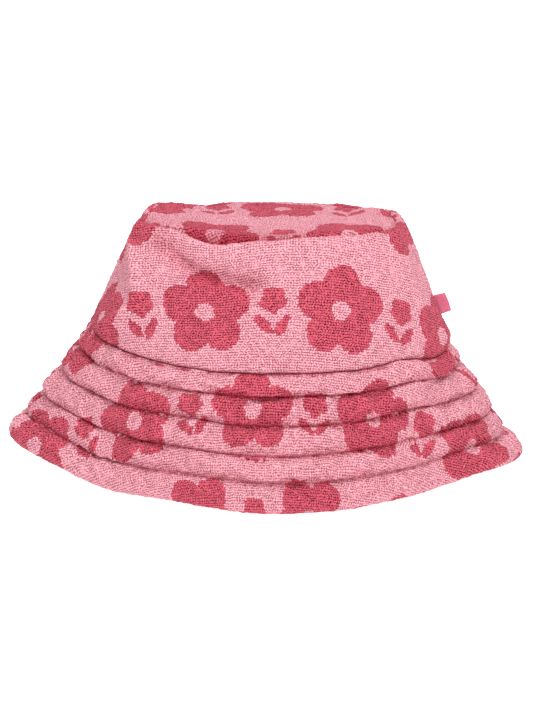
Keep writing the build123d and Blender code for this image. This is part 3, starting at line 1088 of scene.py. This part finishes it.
# Stitches of thread along the brim's rows and the sweatband's two edges
threadRows = {
    "stitch": 2.9 * mm,
    "gap": 0.45 * mm,
    "radius": 0.20 * mm,
    "sink": -0.12 * mm,
    "sides": 6,
    "plump": 0.7,  # power that makes a stitch's ends blunt
    "sit": 0.75,  # how deep it sits, and how much it arches, to its radius
    "arch": 1.3,
    "samples": 721,
    "bandRows": (("stitching_sweatband_low", 2.2 * mm), ("stitching_sweatband_high", 22.8 * mm)),
    "bandSlit": 0.02,
}


def oneStitch():
    bpy.ops.object.select_all(action="DESELECT")
    sides = threadRows["sides"]
    bpy.ops.mesh.primitive_uv_sphere_add(segments=sides, ring_count=sides, radius=0.5, rotation=(0, math.pi / 2, 0))
    stitch = bpy.context.object
    bpy.ops.object.transform_apply(location=True, rotation=True, scale=True)
    points = np.array([corner.co for corner in stitch.data.vertices])
    faces = [tuple(face.vertices) for face in stitch.data.polygons]
    bpy.data.objects.remove(stitch)
    points[:, 0] = np.sign(points[:, 0]) * (np.abs(points[:, 0]) * 2) ** threadRows["plump"] / 2
    return points, faces


stitchPoints, stitchFaces = oneStitch()


def sewn(name, path, normals):
    # A run of stitches along a path of points, each a short plump thread that dips at its ends
    long, radius = threadRows["stitch"], threadRows["radius"]
    along = np.concatenate([[0], np.cumsum(np.linalg.norm(np.diff(path, axis=0), axis=1))])
    count = int(along[-1] / (long + threadRows["gap"]))
    forward, sideways, upwards = stitchPoints[:, :1], stitchPoints[:, 1:2], stitchPoints[:, 2:]
    dip = 1 - (2 * forward) ** 2
    points, faces = [], []

    def onPath(values, place):
        return np.array([np.interp(place, along, values[:, axis]) for axis in range(3)])

    for k in range(count):
        middle = (k + 0.5) * along[-1] / count
        centre = onPath(path, middle)
        ahead = onPath(path, middle + long / 2) - onPath(path, middle - long / 2)
        length = np.linalg.norm(ahead)
        ahead /= length
        normal = onPath(normals, middle)
        normal = normal - ahead * (normal @ ahead)
        normal /= np.linalg.norm(normal)
        lift = upwards * 2 * radius + (dip - threadRows["sit"]) * radius * threadRows["arch"]
        spot = centre + ahead * forward * length + np.cross(ahead, normal) * sideways * 2 * radius + normal * lift
        faces += [tuple(corner + k * len(spot) for corner in face) for face in stitchFaces]
        points.append(spot)
    mesh = bpy.data.meshes.new(name)
    mesh.from_pydata(np.concatenate(points).tolist(), [], faces)
    mesh.polygons.foreach_set("use_smooth", [True] * len(mesh.polygons))
    mesh.update()
    piece = bpy.data.objects.new(name, mesh)
    bpy.context.scene.collection.objects.link(piece)
    return piece


def stitchRow(row, sign):
    angle = np.linspace(0, 2 * math.pi, threadRows["samples"])[:, None]
    slope = brimSlope(angle)
    off = sign * (hatForm["rowLevel"] - brimCloth["groove"] + threadRows["sink"])
    share = rowShare(angle, row)
    at = upright(angle, *brimPoint(slope, share, off))[:, 0]
    above = upright(angle, *brimPoint(slope, share, off + sign * mm))[:, 0]
    face = "top" if sign > 0 else "under"
    return sewn(f"stitching_{face}_row_{row + 1}", at, (above - at) / mm)


def bandStitches(name, rise):
    angle = bandAngles(threadRows["bandSlit"], threadRows["samples"])
    wall = crownWall(angle)
    depth = bandDepth + bandCloth["thickness"]
    share = shareAt(wall, rise, depth)
    at = upright(angle, *wallPoint(wall, angle, share, depth))[:, 0]
    inwards = upright(angle, *wallPoint(wall, angle, share, depth + mm))[:, 0]
    return sewn(name, at, (inwards - at) / mm)


stitches = [stitchRow(row, sign) for sign in (1, -1) for row in range(4)]
stitches += [bandStitches(name, rise) for name, rise in threadRows["bandRows"]]
print("stitching:", len(stitches), "rows")


class wire:  # a socket that can be added, multiplied and so on
    def __init__(self, tree, out=None):
        self.tree, self.out = tree, out

    def node(self, kind, settings=None, values=None, output=0):
        made = self.tree.nodes.new(kind)
        for key, value in (settings or {}).items():
            setattr(made, key, value)
        for key, value in (values or {}).items():
            if isinstance(value, wire):
                self.tree.links.new(value.out, made.inputs[key])
            else:
                made.inputs[key].default_value = value
        return wire(self.tree, made.outputs[output])

    def maths(self, operation, *others):
        return self.node("ShaderNodeMath", {"operation": operation}, dict(enumerate(others)))


def operator(operation, turned=False):
    return lambda first, second: first.maths(operation, *((second, first) if turned else (first, second)))


for name, operation in (("add", "ADD"), ("sub", "SUBTRACT"), ("mul", "MULTIPLY"), ("truediv", "DIVIDE")):
    setattr(wire, f"__{name}__", operator(operation))
    setattr(wire, f"__r{name}__", operator(operation, True))  # a plain number on the left
for name, operation in (("pow", "POWER"), ("mod", "FLOORED_MODULO"), ("lt", "LESS_THAN"), ("gt", "GREATER_THAN")):
    setattr(wire, f"__{name}__", operator(operation))


def floorOf(value):
    return value.maths("FLOOR", value)


def sizeOf(value):
    return value.maths("ABSOLUTE", value)


def sineOf(value):
    return value.maths("SINE", value)


def largest(first, second):
    return first.maths("MAXIMUM", first, second)


def smallest(first, second):
    return first.maths("MINIMUM", first, second)


def between(value, low, high):  # 0 below low, 1 above high, smooth in between
    values = {"Value": value, "From Min": low, "From Max": high}
    return value.node("ShaderNodeMapRange", {"interpolation_type": "SMOOTHSTEP"}, values)


def mixed(share, first, second):  # colours
    values = {"Factor": share}
    for socket, paint in ((6, first), (7, second)):
        values[socket] = paint if isinstance(paint, wire) else (*paint, 1)
    return share.node("ShaderNodeMix", {"data_type": "RGBA", "clamp_result": False}, values, 2)


def scaled(vector, share):  # a vector made longer, or a colour lighter or darker, by a share
    return vector.node("ShaderNodeVectorMath", {"operation": "SCALE"}, {"Vector": vector, "Scale": share})


def dyed(colour, dye):
    return colour.node("ShaderNodeVectorMath", {"operation": "MULTIPLY"}, {0: colour, 1: dye})


def split(vector):
    first = vector.node("ShaderNodeSeparateXYZ", {}, {0: vector})
    return [wire(vector.tree, socket) for socket in first.out.node.outputs]


def paired(x, y):
    return x.node("ShaderNodeCombineXYZ", {}, {"X": x, "Y": y})


def clothNoise(flat, scale, detail, output=0, **more):  # noise that lies on the flat cloth
    values = {"Vector": flat, "Scale": scale, "Detail": detail, **more}
    return flat.node("ShaderNodeTexNoise", {"noise_dimensions": "2D"}, values, output)


def bumped(height, strength, distance):
    return height.node("ShaderNodeBump", {}, {"Strength": strength, "Distance": distance, "Height": height})


def newMaterial(name, constants):
    made = bpy.data.materials.new(name)
    made.use_nodes = True
    shader = made.node_tree.nodes["Principled BSDF"]
    for key, value in constants.items():
        shader.inputs[key].default_value = value
    return made, shader, wire(made.node_tree)


def plug(value, shader, socket):
    value.tree.links.new(value.out, shader.inputs[socket])


def linear(red, green, blue):  # a colour as mixed on screen, from 0 to 255
    return tuple(((c / 255 + 0.055) / 1.055) ** 2.4 for c in (red, green, blue))


# The towelling: lengths on the cloth are in millimetres
terryFinish = {
    "surface": {
        "Roughness": 0.95,
        "Specular IOR Level": 0.08,
        "Sheen Weight": 0.10,
        "Sheen Roughness": 0.4,
        "Sheen Tint": (1.0, 0.70, 0.76, 1),
    },
    "ground": linear(247, 176, 188),
    "motif": linear(225, 98, 118),
    # Painted shade: the colours put into the gaps between the loops
    "groundGapShade": linear(166, 80, 96),
    "motifGapShade": linear(104, 10, 30),
    "shadow": (0.60, 0.20, 0.27),  # painted shade: the share of the colour kept where the painted-shade attribute is full
    "across": 68.0,  # between flowers
    "up": 57.0,
    "petals": 5,
    "flower": {"petal": (12.8, 10.0, 9.4), "core": 9.0, "eye": 4.8},  # a petal's centre, half length, half width
    "bud": {"petal": (4.0, 3.1, 3.1), "core": 3.0, "eye": 0.0},
    "budLevel": 4.0,
    "leafPlace": (4.6, -8.4),
    "leafHalf": (5.8, 2.5),
    "leafLean": 0.9,
    "leafCurve": 0.4,
    "drift": (260.0, 1.2, 1.0),  # scale of the loops' wander, and how far it goes across and up
    "loopSlant": 1.8,
    "loopSide": (0.14, 0.54),  # shares of a loop's width where the gap beside it starts and is full
    "loopFoot": (0.14, 0.52),
    "sideGap": (0.08, 0.80),  # least depth, and its spread from loop to loop
    "footGap": (0.08, 0.72),
    "cornerGap": 0.5,
    "yarn": (1700.0, 1.3),  # scale of the fibres, and how much they break the gaps' edges
    "pileFull": 1.22,
    "light": 0.95,
    "loopLight": 0.12,
    "patch": (70.0, 0.14),  # scale and strength of broad unevenness
    "nap": (420.0, 0.16),
    "loopHeight": (0.8, 0.4),
    "yarnHeight": 0.35,
    "bump": (0.8, 0.0007),
}


def flower(p, q, petals, shape, turn):
    # 1 inside a flower of round petals with an open eye
    reach = (p * p + q * q) ** 0.5
    wedge = 2 * math.pi / petals
    bearing = (reach.maths("ARCTAN2", q, p) + turn + 20 * math.pi + wedge / 2) % wedge - wedge / 2
    x = reach * bearing.maths("COSINE", bearing)
    y = reach * sineOf(bearing)
    centre, halfLong, halfWide = shape["petal"]
    x, y = (x - centre) / halfLong, y / halfWide
    blade = (x * x + y * y) < 1
    return largest(blade, reach < shape["core"]) * (reach > shape["eye"])


def leaf(p, q, lean, place, half, curve):
    x, y = p - place[0], q - place[1]
    along = x * math.cos(lean) + y * math.sin(lean)
    over = y * math.cos(lean) - x * math.sin(lean)
    along, over = along / half[0], over / half[1]
    return (along * along + over * over + along * over * curve) < 1


def blossoms(u, v):
    # Flowers in a brick layout, turned in every other row, with a small blossom and two leaves between
    s = terryFinish
    odd = floorOf(v / s["up"]) % 2.0
    p = (u + odd * (s["across"] / 2)) % s["across"] - s["across"] / 2
    q = v % s["up"] - s["up"] / 2
    large = flower(p, q, s["petals"], s["flower"], odd * (math.pi / s["petals"]) + math.pi / 2)
    p = (u + (1 - odd) * (s["across"] / 2)) % s["across"] - s["across"] / 2
    little = flower(p, q - s["budLevel"], s["petals"], s["bud"], math.pi / 2)
    leafX, leafY = s["leafPlace"]
    right = leaf(p, q, s["leafLean"], (leafX, leafY), s["leafHalf"], s["leafCurve"])
    left = leaf(p, q, math.pi - s["leafLean"], (-leafX, leafY), s["leafHalf"], s["leafCurve"])
    return largest(largest(large, little), largest(right, left))


def terryMaterial():
    s = terryFinish
    made, shader, start = newMaterial("terry_pile", s["surface"])
    flat = start.node("ShaderNodeUVMap", {"uv_map": "cloth"})
    driftScale, driftWide, driftTall = s["drift"]
    drift = split(clothNoise(flat, driftScale, 2.0, 1))
    u, v = split(scaled(flat, 1000.0))[:2]
    u, v = u + (drift[0] - 0.5) * driftWide, v + (drift[1] - 0.5) * driftTall
    wide, tall = loopCloth["wide"] / mm, loopCloth["tall"] / mm
    row = floorOf(v / tall)
    shift = row.node("ShaderNodeTexWhiteNoise", {"noise_dimensions": "1D"}, {"W": row})
    column = floorOf(u / wide + shift)
    chance = column.node("ShaderNodeTexWhiteNoise", {"noise_dimensions": "2D"}, {"Vector": paired(column, row)}, 1)
    chanceA, chanceB, chanceC = split(chance)
    mask = blossoms((column + 0.5 - shift) * wide, (row + 0.5) * tall)
    # Each loop leans its own way, with gaps of uneven depth beside and below it whose colour is painted shade
    inU = u / wide + shift - column - 0.5
    inV = v / tall - row - 0.5
    beside = between(sizeOf(inU + inV * ((chanceA - 0.5) * s["loopSlant"])), *s["loopSide"])
    below = between(sizeOf(inV), *s["loopFoot"])
    sideLeast, sideSpread = s["sideGap"]
    footLeast, footSpread = s["footGap"]
    gap = beside * (sideLeast + chanceB * sideSpread) + below * (footLeast + chanceC * footSpread)
    dome = largest(1 - (gap + beside * below * chanceA * s["cornerGap"]), 0.0)
    yarnScale, yarnBreak = s["yarn"]
    yarn = clothNoise(flat, yarnScale, 2.0, Roughness=0.6) - 0.5
    pile = between(dome + yarn * yarnBreak, 0.0, s["pileFull"])
    # Loop tops take the lit colours, the gaps between loops the painted-shade colours
    lit = mixed(mask, s["ground"], s["motif"])
    deep = mixed(mask, s["groundGapShade"], s["motifGapShade"])
    patchScale, patchLight = s["patch"]
    napScale, napLight = s["nap"]
    patch = (clothNoise(flat, patchScale, 3.0) - 0.5) * patchLight
    # Random patches lighter and darker where the pile lies different ways: painted light and shade
    nap = (clothNoise(flat, napScale, 2.0) - 0.5) * napLight
    shade = s["light"] + (chanceB - 0.5) * s["loopLight"] + patch + nap
    # Painted shade from the mesh's attribute darkens the colour in rows, seams, dents and the tip's valley
    paintedShade = flat.node("ShaderNodeAttribute", {"attribute_name": "paintedShade"}, {}, 2)
    shadow = mixed(smallest(paintedShade, 1.0), (1, 1, 1), s["shadow"])
    plug(scaled(dyed(mixed(pile, deep, lit), shadow), shade), shader, "Base Color")
    least, spread = s["loopHeight"]
    height = dome * (least + chanceC * spread) + yarn * s["yarnHeight"]
    plug(bumped(height, *s["bump"]), shader, "Normal")
    return made


# Woven cloths and ribbon: pitch in millimetres, twill is how much the threads slant
softSurface = {"Roughness": 0.9, "Specular IOR Level": 0.2, "Sheen Weight": 0.15}
ribbonSurface = {"Roughness": 0.45, "Specular IOR Level": 0.5, "Sheen Weight": 0.1}
weaveFinish = {
    "full": 0.8,
    "patch": (160.0, 0.2),
    "slub": (1400.0, 0.1),
    "light": 0.92,
    "slubHeight": 0.4,
    "bump": (0.6, 0.00018),
}


def wovenMaterial(name, light, dark, pitch, surface, twill=0.0):
    s = weaveFinish
    made, shader, start = newMaterial(name, surface)
    flat = start.node("ShaderNodeUVMap", {"uv_map": "cloth"})
    u, v = split(scaled(flat, 1 / (mm * pitch)))[:2]
    warp = sineOf((u + v * twill) * math.pi)
    weft = sineOf(v * math.pi)
    over = between(warp * weft, -0.5, 0.5)
    ribs = over * (warp * warp) + (1 - over) * (weft * weft)
    patchScale, patchLight = s["patch"]
    slubScale, slubLight = s["slub"]
    patch = (clothNoise(flat, patchScale, 3.0) - 0.5) * patchLight
    slub = clothNoise(flat, slubScale, 1.0) - 0.5
    # Darker between the threads and lighter on their crowns: painted shade
    colour = mixed(between(ribs, 0.0, s["full"]), dark, light)
    plug(scaled(colour, s["light"] + patch + slub * slubLight), shader, "Base Color")
    plug(bumped(ribs + slub * s["slubHeight"], *s["bump"]), shader, "Normal")
    return made


plainFinish = {"fine": 6, "coarseShare": 0.6, "range": (0.3, 0.7), "bump": 0.4}


def plainMaterial(name, light, dark, scale, depth, surface):  # felt, thread and paper
    s = plainFinish
    made, shader, start = newMaterial(name, surface)
    place = start.node("ShaderNodeTexCoord", {}, {}, 3)
    coarse = place.node("ShaderNodeTexNoise", {}, {"Vector": place, "Scale": scale, "Detail": 4.0})
    fine = place.node("ShaderNodeTexNoise", {}, {"Vector": place, "Scale": scale * s["fine"], "Detail": 3.0})
    fibres = coarse * s["coarseShare"] + fine * (1 - s["coarseShare"])
    plug(mixed(between(fibres, *s["range"]), dark, light), shader, "Base Color")
    plug(bumped(fine, s["bump"], depth), shader, "Normal")
    return made


wovenFinishes = {
    "lining_weave": {
        "light": linear(246, 206, 212),
        "dark": linear(222, 170, 180),
        "pitch": 0.45,
        "surface": softSurface,
    },
    "sweatband_twill": {
        "light": linear(240, 178, 190),
        "dark": linear(214, 142, 158),
        "pitch": 0.55,
        "surface": softSurface,
        "twill": 0.5,
    },
    "ribbon_satin": {
        "light": linear(236, 118, 148),
        "dark": linear(200, 80, 114),
        "pitch": 0.35,
        "surface": ribbonSurface,
    },
}
fibreFinishes = {
    "felt_fibres": {
        "light": linear(236, 230, 224),
        "dark": linear(214, 206, 198),
        "scale": 900.0,
        "depth": 0.0002,
        "surface": softSurface,
    },
    "sewing_thread": {
        "light": linear(214, 112, 132),
        "dark": linear(184, 80, 102),
        "scale": 2500.0,
        "depth": 0.00008,
        "surface": softSurface,
    },
}
terry = terryMaterial()
lining, twill, ribbon = (wovenMaterial(name, **look) for name, look in wovenFinishes.items())
felt, thread = (plainMaterial(name, **look) for name, look in fibreFinishes.items())
print("finishes made")

# What each piece is made of, its slot, and the solid it stands for
stands = (
    (crownFront, terry, "terry_outer", "crown_side_front"),
    (crownBack, terry, "terry_outer", "crown_side_back"),
    (crownTip, terry, "terry_outer", "crown_tip"),
    (brimTops[0], terry, "terry_outer", "brim_top_front"),
    (brimTops[1], terry, "terry_outer", "brim_top_back"),
    (brimUnders[0], terry, "terry_under", "brim_under_front"),
    (brimUnders[1], terry, "terry_under", "brim_under_back"),
    (brimFelts[0], felt, "interlining", "interlining_front"),
    (brimFelts[1], felt, "interlining", "interlining_back"),
    (linings[0], lining, "lining_cotton", "lining_side_front"),
    (linings[1], lining, "lining_cotton", "lining_side_back"),
    (tipLining, lining, "lining_cotton", "lining_tip"),
    (sweatband, twill, "sweatband_cotton", "sweatband"),
    (label, ribbon, "label_ribbon", "side_label"),
)
for piece, material, slot, node in stands:
    piece.data.materials.append(material)
    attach(piece, "root")
    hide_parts(node)
for piece in stitches:
    piece.data.materials.append(thread)
    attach(piece, "root")
# The studio: a white floor that glows a little, a camera and three soft lights
studio = {
    "floor": 40.0,
    "lens": 115.9,
    "aim": (-0.001367, 0.0, 0.05329),
    "distance": 1.2,
    "elevation": 15.36,
    "world": 0.38,
    "lightAim": (0, 0, 0.06),
    "lights": (  # name, place, size, watts
        ("ceiling", (0.0, -0.6, 3.0), 4.0, 134),
        ("key", (0.55, -1.2, 1.30), 0.6, 8),
        ("front", (0.5, -2.4, 0.35), 1.2, 5),
    ),
    "paper": {
        "light": linear(206, 206, 206),
        "dark": linear(203, 203, 203),
        "scale": 3.0,
        "depth": 0.0001,
        "surface": {
            "Roughness": 0.9,
            "Specular IOR Level": 0.1,
            "Emission Color": (1, 1, 1, 1),
            "Emission Strength": 0.95,
        },
    },
}
bpy.ops.object.select_all(action="DESELECT")
bpy.ops.mesh.primitive_plane_add(size=studio["floor"], location=(0, 0, 0))
floor = bpy.context.object
floor.name = "studio_floor"
floor.data.materials.append(plainMaterial("studio_paper", **studio["paper"]))


def turnedTo(thing, place, aim):  # puts a lamp or the camera in its place, looking at a point
    held = bpy.data.objects.new(thing.name, thing)
    held.location = place
    held.rotation_euler = (Vector(aim) - Vector(place)).to_track_quat("-Z", "Y").to_euler()
    bpy.context.scene.collection.objects.link(held)
    return held


lift = math.radians(studio["elevation"])
eye = Vector(studio["aim"]) + studio["distance"] * Vector((0, -math.cos(lift), math.sin(lift)))
lens = bpy.data.cameras.new("camera")
lens.lens = studio["lens"]
bpy.context.scene.camera = turnedTo(lens, eye, studio["aim"])
for name, place, size, power in studio["lights"]:
    light = bpy.data.lights.new(name, "AREA")
    light.shape, light.size, light.energy = "SQUARE", size, power
    turnedTo(light, place, studio["lightAim"])
sky = bpy.data.worlds.new("studio")
sky.use_nodes = True
background = sky.node_tree.nodes["Background"].inputs
background["Color"].default_value = (1, 1, 1, 1)
background["Strength"].default_value = studio["world"]
bpy.context.scene.world = sky
bpy.context.scene.view_settings.view_transform = "Standard"
print("studio set")
